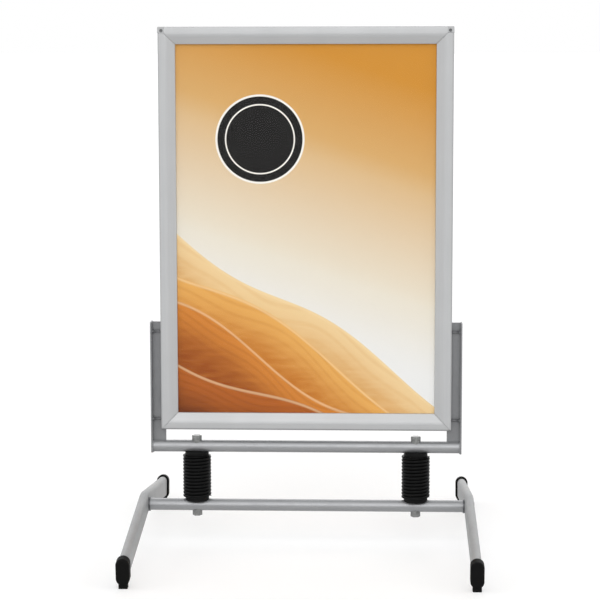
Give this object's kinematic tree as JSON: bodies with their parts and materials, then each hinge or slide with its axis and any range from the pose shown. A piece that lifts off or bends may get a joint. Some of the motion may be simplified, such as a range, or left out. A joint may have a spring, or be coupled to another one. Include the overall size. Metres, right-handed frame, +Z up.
{
  "type": "pavement sign",
  "caption": "Double-sided pavement sign: snap-open poster frames on uprights, carried by close-wound springs over a crossbar and bent flat-oval legs with rubber end caps.",
  "frame": {"origin": "on the ground, under the middle of the sign", "axes": "+Z up; +X to the right of someone who faces the sign's front; -Y towards the front"},
  "size_m": [0.762, 0.7992, 1.1575],
  "materials": {
    "anodised_rail": "satin silver anodised extrusion",
    "key_zinc": "plain die-cast zinc",
    "leaf_steel": "blued spring strip",
    "core_board": "white rigid foam board",
    "printed_paper": "coated printed poster paper",
    "clear_cover": "clear flexible cover sheet",
    "upright_paint": "grey satin powder coat",
    "bar_paint": "silver satin powder coat",
    "leg_paint": "light silver satin powder coat",
    "zinc_fastener": "bright zinc plate",
    "plug_metal": "dark zinc plate",
    "black_spring": "black powder coat on spring wire",
    "black_plug": "moulded black nylon",
    "black_rubber": "moulded black rubber"
  },
  "bodies": {
    "base": {"bar_end_plugs": "plug_metal", "front_left_foot": "black_rubber", "front_right_foot": "black_rubber", "left_leg": "leg_paint", "left_spring": "black_spring", "leg_bolts": "zinc_fastener", "lower_crossbar": "bar_paint", "lower_plug_bolts": "zinc_fastener", "lower_plug_left": "black_plug", "lower_plug_nuts": "zinc_fastener", "lower_plug_right": "black_plug", "lower_plug_saddle_washers": "zinc_fastener", "rear_left_foot": "black_rubber", "rear_right_foot": "black_rubber", "right_leg": "leg_paint", "right_spring": "black_spring"},
    "sign": {"back_base_bottom": "anodised_rail", "back_base_left": "anodised_rail", "back_base_right": "anodised_rail", "back_base_top": "anodised_rail", "back_clear_sheet": "clear_cover", "back_corner_caps": "anodised_rail", "back_corner_keys": "key_zinc", "back_poster": "printed_paper", "back_rail_springs": "leaf_steel", "core_panel": "core_board", "corner_cap_screws": "zinc_fastener", "frame_rivets": "zinc_fastener", "front_base_bottom": "anodised_rail", "front_base_left": "anodised_rail", "front_base_right": "anodised_rail", "front_base_top": "anodised_rail", "front_clear_sheet": "clear_cover", "front_corner_caps": "anodised_rail", "front_corner_keys": "key_zinc", "front_poster": "printed_paper", "front_rail_springs": "leaf_steel", "left_upright": "upright_paint", "right_upright": "upright_paint", "upper_crossbar": "bar_paint", "upper_plug_bolts": "zinc_fastener", "upper_plug_left": "black_plug", "upper_plug_nuts": "zinc_fastener", "upper_plug_right": "black_plug", "upper_plug_saddle_washers": "zinc_fastener", "upright_nuts": "zinc_fastener", "upright_screws": "zinc_fastener"},
    "front_left_rail": {"front_snap_rail_left": "anodised_rail"},
    "front_right_rail": {"front_snap_rail_right": "anodised_rail"},
    "front_top_rail": {"front_snap_rail_top": "anodised_rail"},
    "front_bottom_rail": {"front_snap_rail_bottom": "anodised_rail"},
    "back_left_rail": {"back_snap_rail_left": "anodised_rail"},
    "back_right_rail": {"back_snap_rail_right": "anodised_rail"},
    "back_top_rail": {"back_snap_rail_top": "anodised_rail"},
    "back_bottom_rail": {"back_snap_rail_bottom": "anodised_rail"}
  },
  "joints": [
    {"name": "sway", "type": "hinge", "parent": "base", "child": "sign", "pos_m": [0, 0, 0.15375], "axis": [1, 0, 0], "range_deg": [-25, 25], "stiffness_Nm_per_rad": 240, "deforming": ["left_spring", "right_spring"]},
    {"name": "front_left_snap", "type": "hinge", "parent": "sign", "child": "front_left_rail", "pos_m": [-0.322, -0.0138, 0.70905], "axis": [0, 0, -1], "range_deg": [0, 90]},
    {"name": "front_right_snap", "type": "hinge", "parent": "sign", "child": "front_right_rail", "pos_m": [0.322, -0.0138, 0.70905], "axis": [0, 0, 1], "range_deg": [0, 90]},
    {"name": "front_top_snap", "type": "hinge", "parent": "sign", "child": "front_top_rail", "pos_m": [0, -0.0138, 1.15455], "axis": [-1, 0, 0], "range_deg": [0, 90]},
    {"name": "front_bottom_snap", "type": "hinge", "parent": "sign", "child": "front_bottom_rail", "pos_m": [0, -0.0138, 0.26355], "axis": [1, 0, 0], "range_deg": [0, 90]},
    {"name": "back_left_snap", "type": "hinge", "parent": "sign", "child": "back_left_rail", "pos_m": [-0.322, 0.0138, 0.70905], "axis": [0, 0, 1], "range_deg": [0, 90]},
    {"name": "back_right_snap", "type": "hinge", "parent": "sign", "child": "back_right_rail", "pos_m": [0.322, 0.0138, 0.70905], "axis": [0, 0, -1], "range_deg": [0, 90]},
    {"name": "back_top_snap", "type": "hinge", "parent": "sign", "child": "back_top_rail", "pos_m": [0, 0.0138, 1.15455], "axis": [1, 0, 0], "range_deg": [0, 90]},
    {"name": "back_bottom_snap", "type": "hinge", "parent": "sign", "child": "back_bottom_rail", "pos_m": [0, 0.0138, 0.26355], "axis": [-1, 0, 0], "range_deg": [0, 90]}
  ]
}
